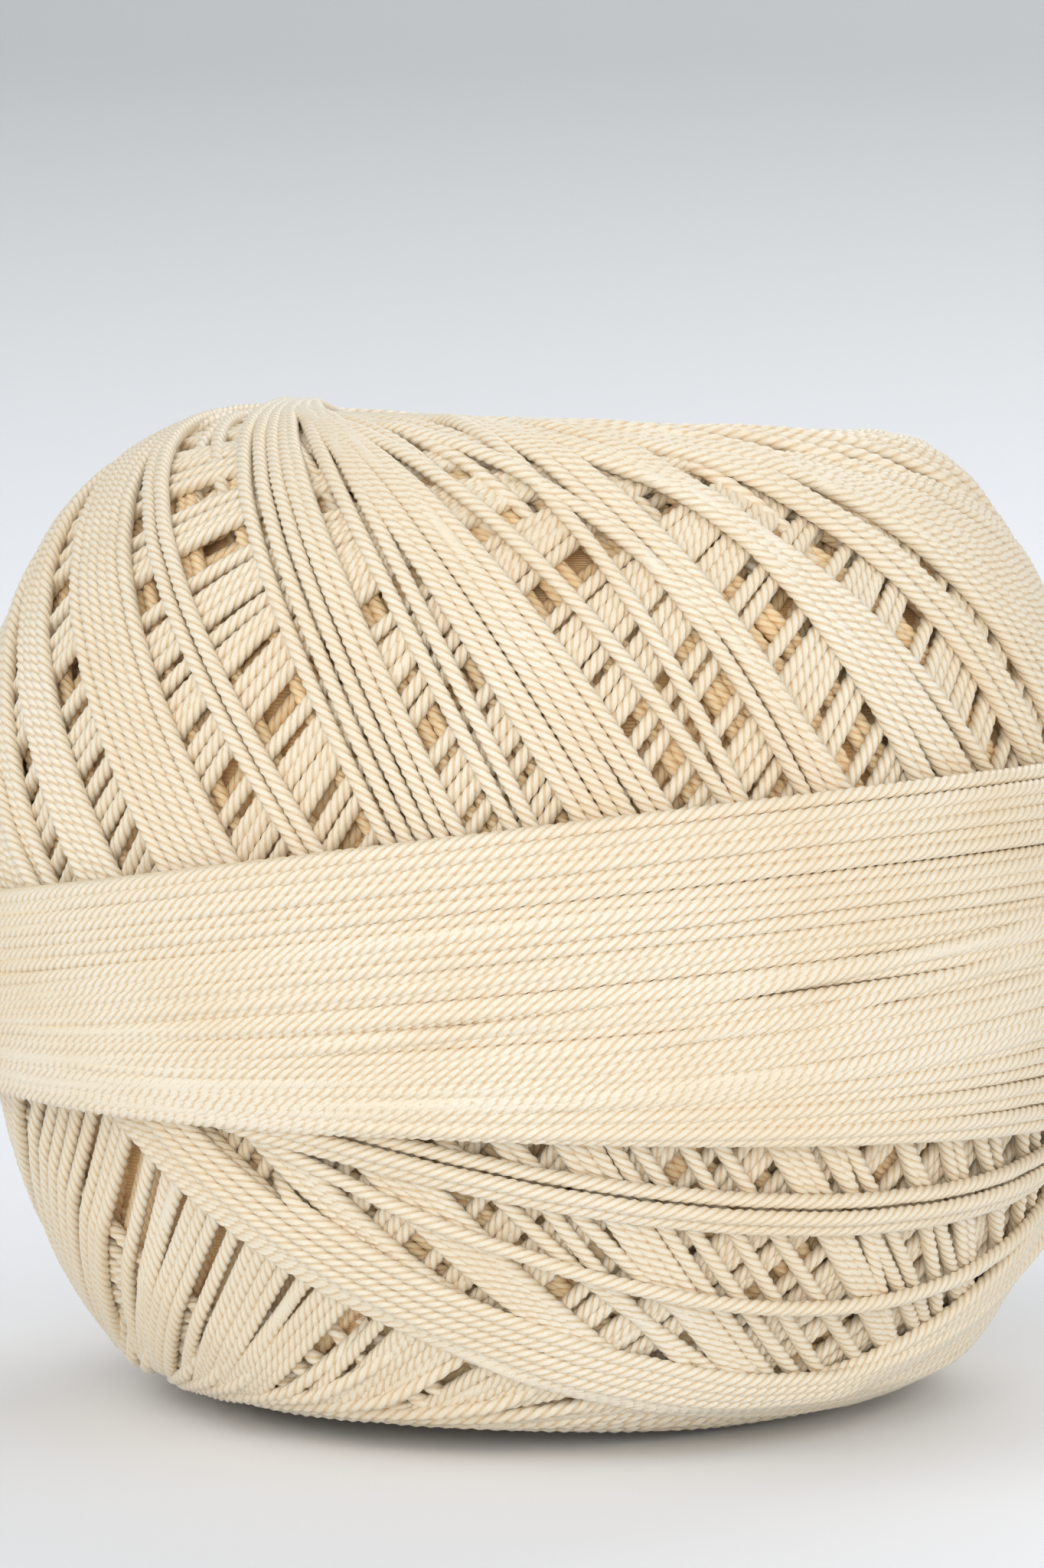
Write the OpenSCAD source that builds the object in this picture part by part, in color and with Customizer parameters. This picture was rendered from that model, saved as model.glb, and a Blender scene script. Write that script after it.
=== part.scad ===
// A ball of crochet cotton, machine-wound on a card tube.
// Millimetres. The winding axis is +Z and the ball stands on the plane z = 0.
// The thread is one length, split into nodes by the stages in which it was wound.

/* [Ball] */
// Overall diameter across the belly band
ball_d = 64; // [56:1:76]
// Overall height
ball_h = 54.5; // [46:0.5:62]
// Height of the widest circle above the base
belly_z = 26; // [23:0.5:29]
// Radius of the crown that the cross-wound loops turn on at each end
crown_r = 14; // [12:0.5:17]
// Fullness of the shoulders, 2 for an ellipse
upper_fullness = 2.3; // [2:0.1:3]
// Fullness of the flanks below the belly
lower_fullness = 2.1; // [1.8:0.1:3]
// How far the base is pressed flat
base_press = 1.2; // [0.6:0.1:2]

/* [Thread] */
// Diameter of the thread
thread_d = 0.8; // [0.6:0.05:1]

/* [Core tube] */
// Inner diameter of the card tube
bore_d = 13; // [10:0.5:14]
// Thickness of the card
card_t = 1.5; // [1:0.25:2]
// Length of the tube
tube_l = 44; // [34:1:46]

/* [Cross-wound lays] */
// Bands of thread in one lay
lay_bands = 12; // [8:1:16]
// Threads lying side by side in one band
band_threads = 7; // [5:1:9]

/* [Belly band] */
// Width of the belly band's first layer
belly_w = 17.6; // [12:0.8:20]
// Width of each bundle of the second layer
bundle_w = 7.2; // [4:0.8:8]
// Lean of the belly band
belly_lean = 2.5; // [0:0.5:4]

/* [Hidden] */
$fn = 96;
cotton = [0.91, 0.86, 0.76];
shaded_cotton = [0.86, 0.79, 0.67];
card = [0.74, 0.66, 0.54];

tube_r = bore_d / 2 + card_t;
tube_z = (ball_h - tube_l) / 2;
// Radius of the last cross-wound lay: the belly band is two threads proud of it
lay_r = ball_d / 2 - 2 * thread_d;
band_w = band_threads * thread_d;
// Tilt of a loop's plane from the winding axis, so that its band rests on the crown
loop_tilt = atan((crown_r + band_w / 2) / (ball_h - belly_z));
curve_steps = 14;
reach = 2 * ball_d;
overrun = 1;

// Depth of each early stage below the last lay
middle_depth = 7;
inner_depth = 12;
starter_depth = 17;
// How far the crown grows with each lay
crown_step = 0.5;

// Places of the stray turns, as heights at the middle of their slabs
stray_bundle_z = 14;
stray_turn_z = 9.6;
base_bundle_z = 5;

// One side of a wound surface, from its crown at the base to its crown at the top
function wound_curve(depth, crown) = [
    for (i = [0:2 * curve_steps])
        let (a = -90 + 90 * i / curve_steps,
             full = a < 0 ? lower_fullness : upper_fullness,
             rise = a < 0 ? belly_z + base_press : ball_h - belly_z,
             out = pow(abs(cos(a)), 2 / full),
             up = sign(a) * pow(abs(sin(a)), 2 / full))
        [crown + (lay_r - depth - crown) * out, max(belly_z + (rise - depth) * up, depth)]
];

function lay_curve(lays_down) =
    wound_curve(lays_down * thread_d, crown_r - max(lays_down, 0) * crown_step);

function reversed(list) = [for (i = [len(list) - 1:-1:0]) list[i]];

// A solid of revolution between two wound surfaces
module wound_between(outside, inside)
    rotate_extrude()
        polygon(concat(outside, reversed(inside)));

// Slabs through the ball's centre that hold the bands of one cross-wound lay
module loop_slabs(turn)
    for (i = [0:lay_bands - 1])
        translate([0, 0, belly_z])
            rotate([0, 0, turn + i * 360 / lay_bands])
                rotate([0, loop_tilt, 0])
                    cube([band_w, reach, reach], center = true);

// One thickness of thread, cross-wound in bands on the lay below
module cross_lay(lays_down, turn)
    intersection() {
        wound_between(lay_curve(lays_down), lay_curve(lays_down + 1));
        loop_slabs(turn);
    }

// A bundle of nearly level turns, one thread thick, on the lay below
module level_turns(lays_up, width, height, lean, toward)
    intersection() {
        wound_between(lay_curve(-lays_up), lay_curve(1 - lays_up));
        translate([0, 0, height])
            rotate([0, 0, toward])
                rotate([0, lean, 0])
                    cube([reach, reach, width], center = true);
    }

module core_tube()
    color(card)
        translate([0, 0, tube_z])
            difference() {
                cylinder(h = tube_l, r = tube_r);
                translate([0, 0, -overrun])
                    cylinder(h = tube_l + 2 * overrun, d = bore_d);
            }

module starter_winding()
    color(shaded_cotton)
        rotate_extrude()
            polygon(wound_curve(starter_depth, tube_r));

module inner_winding()
    color(cotton)
        wound_between(wound_curve(inner_depth, tube_r), wound_curve(starter_depth, tube_r));

module middle_winding()
    color(shaded_cotton)
        wound_between(wound_curve(middle_depth, tube_r), wound_curve(inner_depth, tube_r));

module outer_winding()
    color(cotton)
        wound_between(lay_curve(3), wound_curve(middle_depth, tube_r));

module cross_lay_under()
    color(shaded_cotton)
        cross_lay(2, 0);

module cross_lay_middle()
    color(cotton)
        cross_lay(1, 120 / lay_bands);

module cross_lay_top()
    color(shaded_cotton)
        cross_lay(0, 240 / lay_bands);

module belly_band_under()
    color(cotton)
        level_turns(1, belly_w, belly_z, 0, 0);

module belly_bundle_upper()
    color(shaded_cotton)
        level_turns(2, bundle_w, belly_z + belly_w / 4, belly_lean, 120);

module belly_bundle_lower()
    color(shaded_cotton)
        level_turns(2, bundle_w, belly_z - belly_w / 4, belly_lean, 120);

module stray_bundle()
    color(cotton)
        level_turns(1, 3 * thread_d, stray_bundle_z, 2, 200);

module stray_turn()
    color(cotton)
        level_turns(1, thread_d, stray_turn_z, 4, 250);

module base_bundle()
    color(cotton)
        level_turns(1, 4 * thread_d, base_bundle_z, 3, 60);

core_tube();
starter_winding();
inner_winding();
middle_winding();
outer_winding();
cross_lay_under();
cross_lay_middle();
cross_lay_top();
belly_band_under();
belly_bundle_upper();
belly_bundle_lower();
stray_bundle();
stray_turn();
base_bundle();
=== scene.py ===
"""A ball of crochet cotton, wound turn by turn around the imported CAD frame.

The thread is laid the way a winding machine lays it: each turn is a taut loop that rests on
what lies under it, so bands, gaps and crossings come out of the order of winding.
Winding is worked out in millimetres and written to Blender in metres.
"""
import math

import bpy
import numpy as np
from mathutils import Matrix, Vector


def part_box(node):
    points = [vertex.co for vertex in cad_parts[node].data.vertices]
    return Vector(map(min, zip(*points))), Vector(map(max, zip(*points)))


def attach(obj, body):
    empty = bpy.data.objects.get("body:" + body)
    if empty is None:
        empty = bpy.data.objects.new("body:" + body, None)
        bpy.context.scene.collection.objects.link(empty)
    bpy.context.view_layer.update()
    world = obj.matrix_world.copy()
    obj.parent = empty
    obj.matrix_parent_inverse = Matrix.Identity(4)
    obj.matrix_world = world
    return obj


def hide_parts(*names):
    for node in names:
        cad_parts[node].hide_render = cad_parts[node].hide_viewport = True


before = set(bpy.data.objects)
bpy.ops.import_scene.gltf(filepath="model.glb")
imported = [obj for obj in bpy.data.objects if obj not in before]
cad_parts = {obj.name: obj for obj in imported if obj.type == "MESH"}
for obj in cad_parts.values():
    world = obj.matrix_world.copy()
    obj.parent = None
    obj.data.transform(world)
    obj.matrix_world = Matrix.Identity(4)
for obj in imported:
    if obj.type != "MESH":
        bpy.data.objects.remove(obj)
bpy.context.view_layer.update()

MM = 0.001
UP = np.array([0.0, 0.0, 1.0])
TURN = 2 * math.pi
rng = np.random.default_rng(11)

# ---------------------------------------------------------------- the ball, from the frame


def box_mm(node):
    """The two corners of a CAD node's box, in millimetres."""
    low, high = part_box(node)
    return np.array(low) / MM, np.array(high) / MM


lay_low, lay_high = box_mm("cross_lay_top")
belly_low, belly_high = box_mm("belly_band_under")
tube_low, tube_high = box_mm("core_tube")

THREAD = 0.8                       # diameter of the thread, as in the CAD
BULGE = 1.1                        # the turns stand out this far past the plain CAD solids
TOP_BULGE = 0.8                    # and this far above them
LAY_R = (lay_high[0] - lay_low[0]) / 2 + BULGE
BALL_TOP = lay_high[2] + TOP_BULGE
BELLY_Z = (belly_low[2] + belly_high[2]) / 2
TUBE_R = (tube_high[0] - tube_low[0]) / 2
TUBE_TOP = tube_high[2]
UPPER_CROWN_R, LOWER_CROWN_R = 9.0, 14.0       # the outline is flat out to these radii
UPPER_FULLNESS, LOWER_FULLNESS = 2.8, 2.0      # 2 is an ellipse, and more is fuller
BASE_PRESS = 2.6                   # how far the round shape would reach below the table
CENTRE = np.array([0.0, 0.0, BELLY_Z])

# ---------------------------------------------------------------- wound surfaces


def side_curve(depth, points=361):
    """Radius and height above the centre of a wound surface, from base crown to top crown."""
    angle = np.radians(np.linspace(-90, 90, points))
    lower = angle < 0
    power = 2 / np.where(lower, LOWER_FULLNESS, UPPER_FULLNESS)
    crown = np.where(lower, LOWER_CROWN_R, UPPER_CROWN_R)
    rise = np.where(lower, BELLY_Z + BASE_PRESS, BALL_TOP - BELLY_Z) - depth
    out = np.abs(np.cos(angle)) ** power
    up = np.sign(angle) * np.abs(np.sin(angle)) ** power
    return crown + (LAY_R - depth - crown) * out, rise * up


EL_GRID = np.linspace(-90, 90, 1801)   # elevations of a reach table, in degrees


def reach_table(radius, height):
    """Distance from the centre to a surface of revolution, by elevation from -90 to 90."""
    radius = np.concatenate([[0, TUBE_R], radius, [TUBE_R, 0]])
    height = np.concatenate([[height[0]] * 2, height, [height[-1]] * 2])
    elevation = np.degrees(np.arctan2(height, radius))
    order = np.argsort(elevation)
    return np.interp(EL_GRID, elevation[order], np.hypot(radius, height)[order])


final_reach = reach_table(*side_curve(0))


def surface_at(elevation, table=final_reach):
    """Distance from the centre to a wound surface."""
    return np.interp(np.degrees(elevation), EL_GRID, table)


# ---------------------------------------------------------------- the height of what is wound
# Heights are measured outward from the finished lays, so they start out negative.

CELL = 0.2                         # size of a cell of the height map
SIDE_EL = math.radians(50)         # the side chart ends here, and the end charts begin
SIDE_COLS, SIDE_ROWS = 940, 264
CAP_PLANE = 25.0                   # the end charts are flat planes this far from the centre
CAP_SIDE = 216                     # cells along a side of an end chart
CAP_LOWEST = 0.3                   # keeps directions near the equator on the plane finite
UNWOUND = -50.0                    # the height where no turn lies yet
heights = np.full(SIDE_COLS * SIDE_ROWS + 2 * CAP_SIDE * CAP_SIDE, UNWOUND)


def cell_of(d):
    """Index of the height-map cell that each unit direction falls in."""
    elevation = np.arcsin(np.clip(d[:, 2], -1, 1))
    column = (np.arctan2(d[:, 1], d[:, 0]) / TURN % 1 * SIDE_COLS).astype(int) % SIDE_COLS
    row = ((elevation / SIDE_EL + 1) / 2 * SIDE_ROWS).astype(int).clip(0, SIDE_ROWS - 1)
    flat = np.maximum(np.abs(d[:, 2]), CAP_LOWEST)
    x = (d[:, 0] / flat * CAP_PLANE / CELL + CAP_SIDE / 2).astype(int).clip(0, CAP_SIDE - 1)
    y = (d[:, 1] / flat * CAP_PLANE / CELL + CAP_SIDE / 2).astype(int).clip(0, CAP_SIDE - 1)
    cap = SIDE_COLS * SIDE_ROWS + (d[:, 2] < 0) * CAP_SIDE * CAP_SIDE + y * CAP_SIDE + x
    return np.where(np.abs(elevation) < SIDE_EL, row * SIDE_COLS + column, cap)


def unit(v):
    """The vectors at length 1."""
    return v / np.linalg.norm(v, axis=-1, keepdims=True)


SAMPLES = 900                      # points along a turn
ANGLES = np.arange(SAMPLES) * TURN / SAMPLES
STEP = TURN / SAMPLES
PRESS = 0.9                        # threads sink a little into each other where they cross
FEEL = np.array([-0.3, -0.15, 0.0, 0.15, 0.3])  # across a thread, where it feels those below
COVER = np.linspace(-0.36, 0.36, 7)             # across a thread, where it raises the heights
CHORD_SPANS = (48, 24, 12, 6, 3, 1)             # in points, to each side of a taut point
SMOOTHINGS = 6


def tighten(reach):
    """A taut closed turn: no point lies below the chord between its neighbours."""
    for k in CHORD_SPANS:
        before, after = np.roll(reach, k), np.roll(reach, -k)
        chord = 2 * before * after * math.cos(k * STEP) / (before + after)
        reach = np.maximum(reach, chord)
    for _ in range(SMOOTHINGS):
        reach = (np.roll(reach, 1) + 2 * reach + np.roll(reach, -1)) / 4
    return reach


def arc_height(offset):
    """Height of a thread's round top, or of its underside, beside its middle."""
    return math.sqrt(max((THREAD / 2) ** 2 - offset ** 2, 0)) * PRESS


def rest_on(d, side):
    """Height of the thread's centre where it rests on the turns below."""
    need = np.full(len(d), UNWOUND)
    for offset in FEEL:
        off = unit(d + side * offset / LAY_R)
        need = np.maximum(need, heights[cell_of(off)] + arc_height(offset))
    return need


waiting = []                       # turns laid a moment ago, which neighbours lie beside


def settle(d, side, above, wait):
    """Raises the height map by a turn, once the turns that lie beside it are laid."""
    waiting.append((d, side, above))
    while len(waiting) > wait:
        d, side, above = waiting.pop(0)
        for offset in COVER:
            off = unit(d + side * offset / LAY_R)
            np.maximum.at(heights, cell_of(off), above + arc_height(offset))


def over_previous(swing, width):
    """Near its highest and lowest point a turn climbs over the turns before it."""
    rise = 0
    for apex in (TURN / 4, 3 * TURN / 4):
        share = (apex - ANGLES) / width
        rise = rise + swing * share * np.exp((1 - share ** 2) / 2)
    return rise


def leaning(back, right):
    """Rotation that leans the winding's axis toward the back and the right."""
    back, right = math.radians(back), math.radians(right)
    tip_back = np.array([[1, 0, 0],
                         [0, math.cos(back), math.sin(back)],
                         [0, -math.sin(back), math.cos(back)]])
    tip_right = np.array([[math.cos(right), 0, math.sin(right)],
                          [0, 1, 0],
                          [-math.sin(right), 0, math.cos(right)]])
    return tip_back @ tip_right


TURNING_LEAN = (6.5, 3.0)          # of the axis to the back and to the right, in degrees
CROWN_LEAN = np.array([5.0, 5.0])
BESIDE = 9                         # turns of a lay that lie side by side, not on each other
LAY_CLIMB = 0.2                    # how far the turns of a lay climb over those before them
LAY_CLIMB_WIDTH = math.radians(16)
PLAY = (-0.35, 0.3)                # how far a turn may lie from the middle of its lay
LEVEL_LOW = -0.4                   # the deepest that a level turn lies
PACKED, STACK = 0.4, 1.1           # from this height up turns flatten, and rise by this at most


def loop_directions(azimuth, tilt, advance, lean, aside=0.0):
    """Directions along a turn whose plane is tilted from upright, and its sideways direction.

    The plane passes the centre at the distance aside, as a share of the radius."""
    turn = azimuth - advance * ANGLES / TURN
    out = np.stack([np.cos(turn), np.sin(turn), 0 * turn], -1)
    along = np.stack([-np.sin(turn), np.cos(turn), 0 * turn], -1)
    rise = math.sin(tilt) * out + math.cos(tilt) * UP
    side = math.cos(tilt) * out - math.sin(tilt) * UP
    d = np.cos(ANGLES)[:, None] * along + np.sin(ANGLES)[:, None] * rise
    axis = leaning(*lean)
    return unit(d + aside * side) @ axis.T, side @ axis.T


def lay_loop(azimuth, tilt, advance, height, lean, aside=0.0):
    """A cross-wound turn. Returns its directions from the centre and its distances."""
    d, side = loop_directions(azimuth, tilt, advance, lean, aside)
    base = surface_at(np.arcsin(d[:, 2]))
    above = np.clip(rest_on(d, side), height + PLAY[0], height + PLAY[1])
    above = above + over_previous(LAY_CLIMB, LAY_CLIMB_WIDTH)
    reach = tighten(base + above)
    settle(d, side, reach - base, BESIDE)
    return d, reach


def radius_at(height):
    """Radius of the final surface at a height above the centre."""
    radius, z = side_curve(0)
    return np.interp(height, z, radius)


def packed(height):
    """Turns laid on turns flatten, so that a stack of them rises less and less."""
    over = np.maximum(height - PACKED, 0)
    return np.minimum(height, PACKED) + STACK * (1 - np.exp(-over / STACK))


def lay_turn(right, back, left, front):
    """A nearly level turn that passes the four sides of the ball at these heights."""
    azimuth = ANGLES + TURN / 4
    z = (right + back + left + front) / 4 - BELLY_Z
    z = z + (right - left) / 2 * np.cos(azimuth) + (back - front) / 2 * np.sin(azimuth)
    z = z + (right + left - back - front) / 4 * np.cos(2 * azimuth)
    radius = radius_at(z)
    p = np.stack([radius * np.cos(azimuth), radius * np.sin(azimuth), z], -1)
    d = unit(p)
    along = unit(np.roll(p, -1, 0) - np.roll(p, 1, 0))
    side = unit(np.cross(along, d))
    elevation = np.arcsin(d[:, 2])
    base = surface_at(elevation)
    reach = base + packed(np.maximum(rest_on(d, side), LEVEL_LOW))
    reach = tighten(reach * np.cos(elevation)) / np.cos(elevation)
    settle(d, side, reach - base, 0)
    return d, reach


# ---------------------------------------------------------------- the order of winding

LAY_RISE = 2 * THREAD * PRESS      # each lay adds a rising and a falling thread
TILT_PLAY = 0.006                  # radians that a turn may tilt more or less than its lay
HALVES_MEET = (0.4, 0.6)           # shares of a lay between which its two halves change
FIRST_HALF_DEEPER = 0.5            # the first half of a lay lies deeper by this share of it


def lay_azimuths(bands, tilt):
    """Azimuth and added tilt of each turn of one lay: bands of threads with gaps between."""
    slot = THREAD / (LAY_R * math.cos(tilt))
    places, sways, at, band = [], [], 0.0, 0
    while at * slot < TURN:
        size, gap, sway = bands[band % len(bands)]
        places += [at + i for i in range(size)]
        sways += [math.radians(sway)] * size
        at += size + gap
        band += 1
    return np.array(places) * TURN / at, sways


# How the turns lie while a lay is wound, from the last turn backward: the share of the lay,
# the lean of the axis to the back and to the right and the tilt of the turns in degrees, and
# the distance of their planes from the centre.
DRIFT = np.array([(0.00, 4.5, 11.0, 44.0, -0.045),
                  (0.12, 4.5, 11.0, 42.5, -0.045),
                  (0.22, 3.0, 13.5, 43.0, -0.09),
                  (0.40, 3.0, 14.0, 43.5, -0.10),
                  (0.60, 6.0, -2.0, 36.0, 0.03),
                  (1.00, 6.0, -2.0, 36.0, 0.03)])


def wind_lay(below, bands):
    """One lay of the ball. The azimuth of its turns falls toward that of the last turn.

    Every turn crosses the front once rising and once falling. The first half of the turns
    lies deeper than the last half, which crosses over it."""
    azimuths, sways = lay_azimuths(bands, LAST_TILT)
    turns = []
    for i in range(len(azimuths) - 1, -1, -1):
        step = azimuths[i] - azimuths[i - 1] if i else azimuths[1]
        share = azimuths[i] / TURN
        back, right, tilt, aside = (np.interp(share, DRIFT[:, 0], part) for part in DRIFT.T[1:])
        tilt = math.radians(tilt) + sways[i] + rng.uniform(-TILT_PLAY, TILT_PLAY)
        deeper = np.interp(share, HALVES_MEET, (0, FIRST_HALF_DEEPER))
        height = -THREAD / 2 - LAY_RISE * (below + deeper)
        turns.append(lay_loop(LAST_AZIMUTH + azimuths[i], tilt, step, height, (back, right), aside))
    return turns


def wind_level(count, low, high, stray=0.0):
    """Turns between two nearly level circles, each given by its heights on the four sides.

    Every second turn is wound first, and the others find their place between them."""
    low, high = np.array(low), np.array(high)
    made = []
    for i in list(range(0, count, 2)) + list(range(1, count, 2)):
        share = i / max(count - 1, 1)
        circle = low * (1 - share) + high * share + rng.normal(0, 1, 4) * stray
        made.append(lay_turn(*circle))
    return made


# Bands of a lay, as (threads, gap in threads, added tilt in degrees), from the turn laid
# last backward. The first half of LAST_BANDS lies on top over the front of the ball, and the
# rest shows as rungs in its gaps and at the lower left.
LAST_BANDS = ((7, 3, 0), (4, 3.5, 0.8), (6, 3.5, -0.6), (2, 3, 3), (5, 2.2, -2.6),
              (2, 2.6, -1.5), (4, 0.9, 1.5), (2, 2.3, 3.4), (1, 0.2, -4.5), (1, 2.8, 4),
              (3, 2.2, -2.6), (1, 2.6, 3), (2, 2.6, -3.4), (3, 2.4, 1), (1, 2.2, 3),
              (3, 2.4, -1.8), (2, 2.6, -2.6), (4, 2.6, 0.8),
              (4, 1.2, 3), (3, 1.3, 3), (4, 1.2, -1), (4, 1.4, 2), (3, 1.2, -2), (4, 1.2, 1.5),
              (4, 1.2, 0), (2, 1.6, 0), (4, 1.6, 2), (3, 1.5, -1), (5, 1.6, 1), (3, 1.6, -1.5),
              (4, 1.6, 0.5), (3, 1.5, 2), (5, 1.8, -0.5), (3, 1.6, 1), (4, 1.8, -1), (2, 1, 0))
INNER_BANDS = ((3, 2.2, 0.5), (3, 1.6, -1), (4, 2.4, 0), (2, 2.2, 1.5), (4, 1.8, -0.5))
DENSE_BANDS = ((6, 0.5, 0), (4, 0.6, 2), (7, 0.4, -2))
LAST_AZIMUTH = math.radians(103)
LAST_TILT = math.radians(41)

dense_lay = wind_lay(2, DENSE_BANDS)
lower_lay = wind_lay(1, INNER_BANDS)
upper_lay = wind_lay(0, LAST_BANDS)


def turning_bundle(count):
    """Steep turns on the last lay, wound while the ball is tipped over for the level turns."""
    advance, height = 0.03, 0.3
    made = []
    for i in range(count):
        azimuth = math.radians(118 + 1.5 * i)
        tilt = math.radians(43 + 0.9 * i)
        made.append(lay_loop(azimuth, tilt, advance, height, TURNING_LEAN))
    return made


turning = turning_bundle(4)

# Level turns, as heights on the right, back, left and front.
turning.append(lay_turn(13.8, 36.0, 33.9, 11.6))
turning += wind_level(3, (15.0, 27.0, 26.6, 14.9), (16.6, 28.6, 28.2, 16.4))
BELLY_BOTTOM = (16.6, 17.5, 18.6, 18.8)
BELLY_TOP = (35.3, 30.0, 27.6, 34.2)
belly_under = wind_level(26, BELLY_BOTTOM, BELLY_TOP, 0.06)
belly_lower = wind_level(9, BELLY_BOTTOM, (23.6, 21.0, 20.4, 21.6), 0.06)
belly_upper = wind_level(9, (29.8, 25.4, 22.8, 29.0), BELLY_TOP, 0.06)
belly_middle = wind_level(16, (22.8, 20.0, 19.2, 20.4), (30.6, 27.0, 22.8, 29.4), 0.08)
belly_crossing = wind_level(5, (24.4, 21.0, 19.8, 20.8), (29.8, 27.6, 21.6, 25.4), 0.5)

# ---------------------------------------------------------------- the ends of the ball

SHELLS = 11                        # stages of winding whose turns show at the ends
SHELL_TURNS = 44
SHELL_DEPTH = 0.5                  # the last of these stages lies this deep
FIRST_SHELL_R = 12                 # radius of the first stage at its waist
FIRST_SHELL_DROP = 20.0            # how far it reaches below the centre
FIRST_SHELL_TOP_DROP = 0.6         # and how far its top lies below the top of the tube
RING_FIRST_R = TUBE_R + 1          # radius at which the turns of the first stage turn round
RING_LAST_R = 18.5                 # and those of the last
ARC_ADVANCE = 0.05                 # radians that a turn moves on by
ARC_AZIMUTH_PLAY, ARC_TILT_PLAY, ARC_HEIGHT_PLAY = 0.03, 0.012, 0.1
ARC_CLIMB = 0.35                   # how far an arc climbs over the one before it
ARC_CLIMB_WIDTH = math.radians(20)
UPPER_ARC, LOWER_ARC = 105, 90     # points of a turn that show, to each side of an end
ARC_SINK = 2.0                     # arcs sink in by this much at their ends


def shell_table(share):
    """Surface of an earlier stage of winding, from the bare tube at 0 to the last lays at 1."""
    radius, height = side_curve(SHELL_DEPTH)
    angle = np.arctan2(height, radius)
    start_r = TUBE_R - 1 + (FIRST_SHELL_R - TUBE_R + 1) * np.cos(angle)
    start_top = TUBE_TOP - BELLY_Z - FIRST_SHELL_TOP_DROP
    start_h = np.where(angle < 0, FIRST_SHELL_DROP, start_top) * np.sin(angle)
    radius = start_r + (radius - start_r) * share
    height = start_h + (height - start_h) * share
    return reach_table(radius, height), height[-1]


def arc_pair(azimuth, tilt, lean, table):
    """The two stretches of a turn that show, one at the top of the ball and one at the base."""
    d, _ = loop_directions(azimuth, tilt, ARC_ADVANCE, lean)
    reach = surface_at(np.arcsin(d[:, 2]), table)
    reach = reach + over_previous(ARC_CLIMB, ARC_CLIMB_WIDTH)
    reach = reach + rng.uniform(-ARC_HEIGHT_PLAY, ARC_HEIGHT_PLAY)
    pair = []
    for apex, shown in ((SAMPLES // 4, UPPER_ARC), (3 * SAMPLES // 4, LOWER_ARC)):
        near = slice(apex - shown, apex + shown)
        sink = ARC_SINK * np.linspace(-1, 1, 2 * shown) ** 4
        pair.append((d[near], reach[near] - sink))
    return pair


def end_arcs():
    """The stretches of earlier turns that the ends of the ball leave in sight."""
    arcs = []
    for shell in range(SHELLS):
        share = shell / (SHELLS - 1)
        table, top = shell_table(share)
        ring = RING_FIRST_R + (RING_LAST_R - RING_FIRST_R) * share
        tilt = math.atan2(ring, top)
        start = rng.uniform(0, TURN)
        for i in range(SHELL_TURNS):
            azimuth = start - TURN * i / SHELL_TURNS
            azimuth = azimuth + rng.uniform(-ARC_AZIMUTH_PLAY, ARC_AZIMUTH_PLAY)
            arc_tilt = tilt + rng.normal(0, ARC_TILT_PLAY)
            arcs += arc_pair(azimuth, arc_tilt, CROWN_LEAN * share, table)
    return arcs


# ---------------------------------------------------------------- press the base flat

FLOOR_GAP = THREAD / 2             # the middle of a thread that lies on the table
PRESSED_BELOW = 3.0                # the base is pressed flat below this height
ROUND_LOW = FLOOR_GAP - BASE_PRESS  # the lowest point before the base is pressed


def place(d, reach):
    """Points of a turn in the row frame, in millimetres, with the base pressed flat."""
    p = CENTRE + d * reach[:, None]
    squeeze = (PRESSED_BELOW - FLOOR_GAP) / (PRESSED_BELOW - ROUND_LOW)
    z = p[:, 2]
    pressed = FLOOR_GAP + np.maximum(z - ROUND_LOW, 0) * squeeze
    p[:, 2] = np.where(z < PRESSED_BELOW, pressed, z)
    return p


# ---------------------------------------------------------------- thread meshes

PLIES = 4
TWIST_PITCH = 2.6                  # length of one whole twist of the plies
VALLEY = 0.80                      # radius between two plies, as a share of the thread's radius
THREAD_R = 0.56 * THREAD           # loose fibres fill the gap between touching threads


def soften(path, times):
    """Rounds off a path, its ends kept in place."""
    for _ in range(times):
        path[1:-1] = (path[:-2] + 2 * path[1:-1] + path[2:]) / 4
    return path


def resample(path, spacing):
    """Even points along a path, and how far along it each one lies."""
    length = np.concatenate([[0], np.cumsum(np.linalg.norm(np.diff(path, axis=0), axis=1))])
    count = max(int(length[-1] / spacing), 2)
    at = np.linspace(0, length[-1], count + 1)
    points = np.stack([np.interp(at, length, path[:, i]) for i in range(3)], -1)
    return points, at


def tube(points, at, plies):
    """Corners, quads and texture places of twisted plies. Each column follows one ply."""
    tangent = unit(np.gradient(points, axis=0))
    out = unit(points - CENTRE)
    out = unit(out - tangent * (out * tangent).sum(-1, keepdims=True))
    across = np.cross(tangent, out)
    columns = 2 * plies
    ring = np.arange(columns) * TURN / columns
    bulge = THREAD_R * np.where(np.arange(columns) % 2 == 0, 1.0, VALLEY)
    angle = ring[None, :] - at[:, None] * TURN / TWIST_PITCH
    corners = (points[:, None, :]
               + (np.cos(angle) * bulge)[..., None] * out[:, None, :]
               + (np.sin(angle) * bulge)[..., None] * across[:, None, :])
    rings = len(points)
    first = np.arange(rings - 1)[:, None] * columns + np.arange(columns)[None, :]
    nexts = np.roll(first, -1, axis=1)
    quads = np.stack([first, nexts, nexts + columns, first + columns], -1).reshape(-1, 4)
    gap = at[1] - at[0]
    u = np.repeat(at[:-1], columns)[:, None] + np.array([0, 0, 1, 1]) * gap
    v = (np.tile(np.arange(columns), rings - 1)[:, None] + np.array([0, 1, 1, 0])) / 2
    return corners.reshape(-1, 3), quads, np.stack([u, v], -1).reshape(-1, 2)


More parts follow.
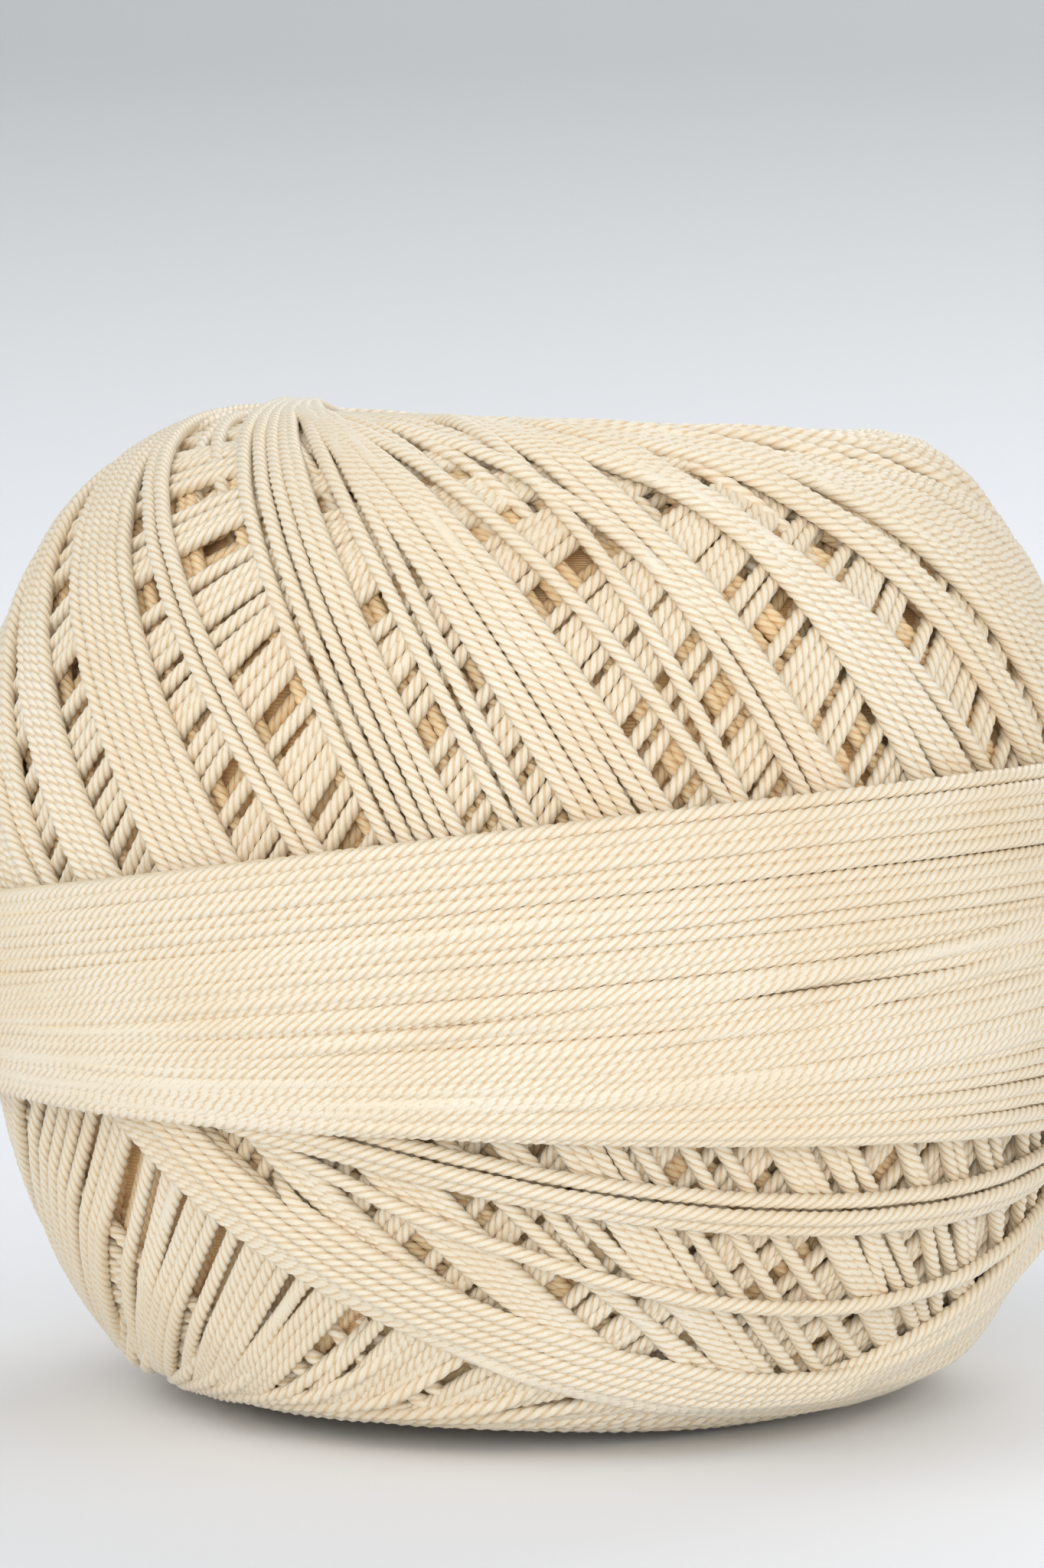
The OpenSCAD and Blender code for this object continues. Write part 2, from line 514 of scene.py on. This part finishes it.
def mesh_piece(name, parts, material):
    """One piece from many tubes."""
    starts = np.cumsum([0] + [len(corners) for corners, _, _ in parts])
    corners = np.concatenate([part[0] for part in parts]) * MM
    quads = np.concatenate([part[1] + start for part, start in zip(parts, starts)])
    places = np.concatenate([part[2] for part in parts])
    mesh = bpy.data.meshes.new(name)
    mesh.vertices.add(len(corners))
    mesh.vertices.foreach_set("co", corners.ravel())
    mesh.loops.add(quads.size)
    mesh.loops.foreach_set("vertex_index", quads.ravel())
    mesh.polygons.add(len(quads))
    mesh.polygons.foreach_set("loop_start", np.arange(0, quads.size, 4))
    mesh.update(calc_edges=True)
    mesh.shade_smooth()
    lay = mesh.uv_layers.new(name="along_thread")
    lay.data.foreach_set("uv", places.ravel())
    piece = bpy.data.objects.new(name, mesh)
    bpy.context.collection.objects.link(piece)
    finish_piece(piece, material)
    return piece


LEAD = 110                         # points over which a turn slides over to the next one
TUCK = 1.2                         # the two ends of a thread are pushed in this deep


def one_thread(turns):
    """The path of the continuous thread through many turns, its ends tucked in."""
    paths = [place(*turn) for turn in turns]
    ease = np.linspace(0, 1, LEAD)[:, None]
    ease = ease * ease * (3 - 2 * ease)
    for path, following in zip(paths, paths[1:]):
        path[-LEAD:] += ease * (following[0] - path[-1])
    tuck = TUCK * ease[::-1]
    paths[0][:LEAD] -= tuck * unit(paths[0][:LEAD] - CENTRE)
    paths[-1][-LEAD:] -= tuck[::-1] * unit(paths[-1][-LEAD:] - CENTRE)
    return soften(np.concatenate(paths), 2)


def thread_pieces(name, turns, material, spacing=0.26, plies=PLIES, most_rings=9500):
    """The continuous thread of many turns, cut into pieces of a workable size."""
    points, at = resample(one_thread(turns), spacing)
    count = math.ceil(len(points) / most_rings)
    cuts = np.linspace(0, len(points) - 1, count + 1).astype(int)
    pieces = []
    for i in range(count):
        part = slice(cuts[i], cuts[i + 1] + 1)
        made = [tube(points[part], at[part], plies)]
        pieces.append(mesh_piece(f"{name}_{i + 1}", made, material))
    return pieces


def finish_piece(piece, material):
    """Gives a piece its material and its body."""
    piece.data.materials.append(material)
    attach(piece, "root")


# ---------------------------------------------------------------- materials


def new_material(name):
    """A node material, with its nodes, links and shader."""
    material = bpy.data.materials.new(name)
    material.use_nodes = True
    nodes, links = material.node_tree.nodes, material.node_tree.links
    return material, nodes, links, nodes["Principled BSDF"]


def add(nodes, kind, **values):
    """A new node with the values of its sockets; _ in a socket's name stands for a space."""
    node = nodes.new(kind)
    for socket, value in values.items():
        node.inputs[socket.replace("_", " ")].default_value = value
    return node


def ramp(nodes, stops):
    """A colour ramp through the stops, each a place and a colour."""
    node = nodes.new("ShaderNodeValToRGB")
    while len(node.color_ramp.elements) < len(stops):
        node.color_ramp.elements.new(0.5)
    for element, (at, colour) in zip(node.color_ramp.elements, stops):
        element.position = at
        element.color = (*colour, 1)
    return node


PLY_BUMP = 0.5
PLY_HEIGHT, FIBRE_HEIGHT = 0.00012, 0.00005    # in metres
PLY_GROOVE, PLY_CREST = 0.5, 0.22  # where across a ply its groove and its crest are
CLOUD_SCALE = 110                  # of the slow change of colour over the ball
FIBRE_STRETCH = (1.1, 7, 1)        # fibres are long along the thread and fine across it


def thread_places(nodes):
    """The places along and across the thread, as UVs."""
    along = nodes.new("ShaderNodeUVMap")
    along.uv_map = "along_thread"
    return along.outputs["UV"]


def fibre_noise(nodes, links, places):
    """Streaks that run along the thread."""
    stretch = add(nodes, "ShaderNodeMapping", Scale=FIBRE_STRETCH)
    links.new(places, stretch.inputs["Vector"])
    fibres = add(nodes, "ShaderNodeTexNoise", Scale=1, Detail=4, Roughness=0.65)
    links.new(stretch.outputs["Vector"], fibres.inputs["Vector"])
    return fibres.outputs["Fac"]


def ply_crests(nodes, links, places):
    """1 on the crest of each ply and 0 in the groove beside it."""
    split = nodes.new("ShaderNodeSeparateXYZ")
    links.new(places, split.inputs["Vector"])
    ply = nodes.new("ShaderNodeMath")
    ply.operation = "PINGPONG"
    ply.inputs[1].default_value = 0.5
    links.new(split.outputs["Y"], ply.inputs[0])
    crest = add(nodes, "ShaderNodeMapRange", From_Min=PLY_GROOVE, From_Max=PLY_CREST)
    crest.interpolation_type = "SMOOTHSTEP"
    links.new(ply.outputs[0], crest.inputs["Value"])
    return crest.outputs["Result"]


def cotton_colour(nodes, links, colours, fibres, crests):
    """Light and warm cotton in clouds and streaks, with painted shade: a darker groove colour
    between plies.
    """
    light, warm, painted_groove_shade = colours
    where = nodes.new("ShaderNodeTexCoord")
    cloud = add(nodes, "ShaderNodeTexNoise", Scale=CLOUD_SCALE, Detail=4)
    links.new(where.outputs["Object"], cloud.inputs["Vector"])
    blend = add(nodes, "ShaderNodeMix", Factor=0.45)
    links.new(cloud.outputs["Fac"], blend.inputs["A"])
    links.new(fibres, blend.inputs["B"])
    tint = ramp(nodes, [(0.32, warm), (0.6, light)])
    links.new(blend.outputs["Result"], tint.inputs["Fac"])
    # Painted shade: the grooves between plies take the darker groove colour.
    shaded_grooves = nodes.new("ShaderNodeMix")
    shaded_grooves.data_type = "RGBA"
    shaded_grooves.inputs["A"].default_value = (*painted_groove_shade, 1)
    links.new(crests, shaded_grooves.inputs["Factor"])
    links.new(tint.outputs["Color"], shaded_grooves.inputs["B"])
    return shaded_grooves.outputs["Result"]


def cotton(name, light, warm, painted_groove_shade, fibre_bump):
    """Mercerised cotton: silky plies with grooves between, painted darker as shade, and fibres
    along them.
    """
    material, nodes, links, shader = new_material(name)
    places = thread_places(nodes)
    fibres = fibre_noise(nodes, links, places)
    crests = ply_crests(nodes, links, places)
    colour = cotton_colour(nodes, links, (light, warm, painted_groove_shade), fibres, crests)
    links.new(colour, shader.inputs["Base Color"])
    round_ply = add(nodes, "ShaderNodeBump", Strength=PLY_BUMP, Distance=PLY_HEIGHT)
    links.new(crests, round_ply.inputs["Height"])
    bump = add(nodes, "ShaderNodeBump", Strength=fibre_bump, Distance=FIBRE_HEIGHT)
    links.new(fibres, bump.inputs["Height"])
    links.new(round_ply.outputs["Normal"], bump.inputs["Normal"])
    links.new(bump.outputs["Normal"], shader.inputs["Normal"])
    shader.inputs["Roughness"].default_value = 0.4
    shader.inputs["Specular IOR Level"].default_value = 0.6
    shader.inputs["Sheen Weight"].default_value = 0.15
    shader.inputs["Sheen Roughness"].default_value = 0.5
    return material


def card():
    """Grey-brown card with short paper fibres."""
    material, nodes, links, shader = new_material("core_card")
    where = nodes.new("ShaderNodeTexCoord")
    fibres = add(nodes, "ShaderNodeTexNoise", Scale=900, Detail=5)
    links.new(where.outputs["Object"], fibres.inputs["Vector"])
    tint = ramp(nodes, [(0.3, (0.30, 0.21, 0.13)), (0.7, (0.50, 0.38, 0.25))])
    links.new(fibres.outputs["Fac"], tint.inputs["Fac"])
    links.new(tint.outputs["Color"], shader.inputs["Base Color"])
    bump = add(nodes, "ShaderNodeBump", Strength=0.4, Distance=0.0001)
    links.new(fibres.outputs["Fac"], bump.inputs["Height"])
    links.new(bump.outputs["Normal"], shader.inputs["Normal"])
    shader.inputs["Roughness"].default_value = 0.9
    return material


# Each cotton by its light colour, warm colour, groove colour (painted shade between plies) and
# fibre bump.
# Deeper turns get warmer, more orange copies of the same cotton: painted shade and painted bounce
# light, standing in for the light that reaches them after bouncing between threads. The top cotton
# is the lit copy.
top_cotton = cotton("cotton_top", (0.95, 0.87, 0.71), (0.91, 0.77, 0.55), (0.82, 0.62, 0.38), 0.4)
deep_cotton_painted_shade = cotton("cotton_deep_painted_shade", (0.98, 0.80, 0.51), (0.96, 0.71, 0.39),
                     (0.91, 0.60, 0.30), 0.4)
core_cotton_painted_shade = cotton("cotton_core_painted_shade", (0.95, 0.66, 0.34), (0.92, 0.58, 0.26),
                     (0.88, 0.54, 0.24), 0.0)
under_cotton_painted_shade = cotton("cotton_under_painted_shade", (0.97, 0.83, 0.58), (0.94, 0.74, 0.45),
                      (0.86, 0.60, 0.32), 0.4)
card_material = card()

# ---------------------------------------------------------------- pieces

END_PIECES = 3
ARC_SPACING, ARC_PLIES = 0.4, 3


def crown_piece(name, arcs, material):
    """One piece from many separate arcs."""
    parts = []
    for d, reach in arcs:
        points, at = resample(soften(place(d, reach), 1), ARC_SPACING)
        parts.append(tube(points, at, ARC_PLIES))
    return mesh_piece(name, parts, material)


CORE_DEPTH = 2.8                   # the core body lies this deep under the last lays
CORE_RIM = 22.0                    # the dish at each end starts at this radius
CORE_FIT = 0.02                    # gap between the core body and the tube
CORE_BASE_Z = 7.2                  # height where the lower dish meets the tube
CORE_TOP_DROP = 2.2                # the upper dish meets the tube this far below its top
CORE_FLOOR = 0.3                   # the core body stays this far above the table
CORE_COLUMNS = 240
RIBS = 80                          # round the core body
RIB_DEPTH = 0.004                  # as a share of the radius
RIB_SLANT = 2.2                    # radians of a rib's wave for each mm of height


def core_profile():
    """Radius and height above the centre of the core body, from dish to dish."""
    radius, height = side_curve(CORE_DEPTH)
    outer = radius > CORE_RIM
    fit_r = TUBE_R + CORE_FIT
    base, top = CORE_BASE_Z - BELLY_Z, TUBE_TOP - BELLY_Z - CORE_TOP_DROP
    radius = np.concatenate([[fit_r], radius[outer], [fit_r]])
    height = np.concatenate([[base], height[outer], [top]])
    return radius, height


def core_body():
    """The wound body under the turns that are laid one by one, with a dish at each end."""
    radius, height = core_profile()
    azimuth = np.arange(CORE_COLUMNS) * TURN / CORE_COLUMNS
    rib = 1 + RIB_DEPTH * np.sin(azimuth[None, :] * RIBS + height[:, None] * RIB_SLANT)
    x = radius[:, None] * np.cos(azimuth) * rib
    y = radius[:, None] * np.sin(azimuth) * rib
    z = np.maximum(height[:, None] + BELLY_Z, CORE_FLOOR) + 0 * x
    corners = np.stack([x, y, z], -1).reshape(-1, 3) * MM
    index = np.arange(len(corners)).reshape(len(radius), CORE_COLUMNS)
    beside = np.roll(index, -1, axis=1)
    quads = np.stack([index[:-1], beside[:-1], beside[1:], index[1:]], -1).reshape(-1, 4)
    mesh = bpy.data.meshes.new("inner_turns")
    mesh.from_pydata(corners.tolist(), [], quads.tolist())
    mesh.shade_smooth()
    mesh.uv_layers.new(name="along_thread")     # left at 0, where the cotton has no grooves
    piece = bpy.data.objects.new("inner_turns", mesh)
    bpy.context.collection.objects.link(piece)
    finish_piece(piece, core_cotton_painted_shade)
    return piece


core = core_body()
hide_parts("outer_winding")
arcs = end_arcs()
per_piece = len(arcs) // END_PIECES
for i in range(END_PIECES):
    part = arcs[i * per_piece:(i + 1) * per_piece + 1]
    crown = crown_piece(f"end_turns_{i + 1}", part, top_cotton)
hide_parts("cross_lay_under")
thread_pieces("dense_lay", dense_lay, deep_cotton_painted_shade, spacing=0.55, plies=3, most_rings=16000)
lower = thread_pieces("lower_lay", lower_lay, deep_cotton_painted_shade, spacing=0.36, most_rings=12000)
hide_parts("cross_lay_middle")
upper = thread_pieces("upper_lay", upper_lay, top_cotton)
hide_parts("cross_lay_top")
strays = thread_pieces("turning_turns", turning, top_cotton)
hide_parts("base_bundle", "stray_turn", "stray_bundle")
under = thread_pieces("belly_under", belly_under, under_cotton_painted_shade)
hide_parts("belly_band_under")
belly_over = belly_lower + belly_upper + belly_middle + belly_crossing
over = thread_pieces("belly_over", belly_over, top_cotton)
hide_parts("belly_bundle_upper", "belly_bundle_lower")

# The inner CAD windings take the core cotton, whose orange is painted shade and painted bounce
# light.
carried_over = {"starter_winding": core_cotton_painted_shade, "inner_winding": core_cotton_painted_shade,
                "middle_winding": core_cotton_painted_shade, "core_tube": card_material}
for node, material in carried_over.items():
    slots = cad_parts[node].data.materials
    slots.clear()
    slots.append(material)

# ---------------------------------------------------------------- studio


def paper_with_painted_shade():
    """Pale paper with painted shade: the backdrop is painted darker than the floor."""
    material, nodes, links, shader = new_material("studio_paper_painted_shade")
    where = nodes.new("ShaderNodeTexCoord")
    split = nodes.new("ShaderNodeSeparateXYZ")
    links.new(where.outputs["Object"], split.inputs["Vector"])
    # Painted shade: the paper goes from pale on the floor to mid grey up the backdrop.
    tint = ramp(nodes, [(0.0, (0.92, 0.935, 0.97)), (0.08, (0.50, 0.52, 0.525))])
    links.new(split.outputs["Z"], tint.inputs["Fac"])
    links.new(tint.outputs["Color"], shader.inputs["Base Color"])
    shader.inputs["Roughness"].default_value = 0.75
    return material


def sweep():
    """A floor that curves up into a backdrop."""
    front, bend_from, bend, top, half_width = -1.2, 0.45, 0.35, 1.6, 2.0
    steps = 16
    outline = [(front, 0.0), (bend_from, 0.0)]
    for i in range(1, steps + 1):
        a = math.radians(90 * i / steps)
        outline.append((bend_from + bend * math.sin(a), bend * (1 - math.cos(a))))
    outline.append((bend_from + bend, top))
    verts = [(x, y, z) for y, z in outline for x in (-half_width, half_width)]
    faces = [(2 * i, 2 * i + 1, 2 * i + 3, 2 * i + 2) for i in range(len(outline) - 1)]
    mesh = bpy.data.meshes.new("studio_sweep")
    mesh.from_pydata(verts, [], faces)
    mesh.shade_smooth()
    stage = bpy.data.objects.new("studio_sweep", mesh)
    bpy.context.collection.objects.link(stage)
    mesh.materials.append(paper_with_painted_shade())


def area_light(name, place_at, aim, size, power, colour):
    """A square lamp that points at aim."""
    data = bpy.data.lights.new(name, "AREA")
    data.size = size
    data.energy = power
    data.color = colour
    lamp = bpy.data.objects.new(name, data)
    lamp.location = place_at
    lamp.rotation_euler = (Vector(aim) - Vector(place_at)).to_track_quat("-Z", "Y").to_euler()
    bpy.context.collection.objects.link(lamp)


def studio():
    """Floor, backdrop, four soft lamps and a pale surrounding."""
    sweep()
    middle = (0, 0, BELLY_Z * MM)
    area_light("window", (-0.15, -0.95, 0.18), middle, 0.6, 3.9, (1.0, 1.0, 1.0))
    area_light("key", (-0.6, -0.3, 0.8), middle, 0.7, 2.2, (1.0, 0.99, 0.97))
    area_light("fill", (0.8, -0.4, 0.4), middle, 0.8, 1.9, (1.0, 0.98, 0.95))
    area_light("back", (0.25, 0.6, 0.6), middle, 0.6, 2.2, (1.0, 1.0, 1.0))
    world = bpy.data.worlds.new("studio")
    world.use_nodes = True
    around = world.node_tree.nodes["Background"].inputs
    around["Color"].default_value = (0.96, 0.98, 1.0, 1)
    around["Strength"].default_value = 0.55
    bpy.context.scene.world = world
    bpy.context.scene.view_settings.view_transform = "Standard"


def camera():
    """The photograph's view: close to level, from the front, the ball low in the frame."""
    distance, elevation = 0.40, math.radians(5.3)
    aim = Vector((-0.0008, 0, 0.034))
    eye = aim + distance * Vector((0, -math.cos(elevation), math.sin(elevation)))
    data = bpy.data.cameras.new("camera")
    data.sensor_fit = "HORIZONTAL"
    data.sensor_width = 36
    data.lens = 246
    data.clip_start = 0.01
    view = bpy.data.objects.new("camera", data)
    view.location = eye
    view.rotation_euler = (aim - eye).to_track_quat("-Z", "Y").to_euler()
    bpy.context.collection.objects.link(view)
    bpy.context.scene.camera = view


studio()
camera()
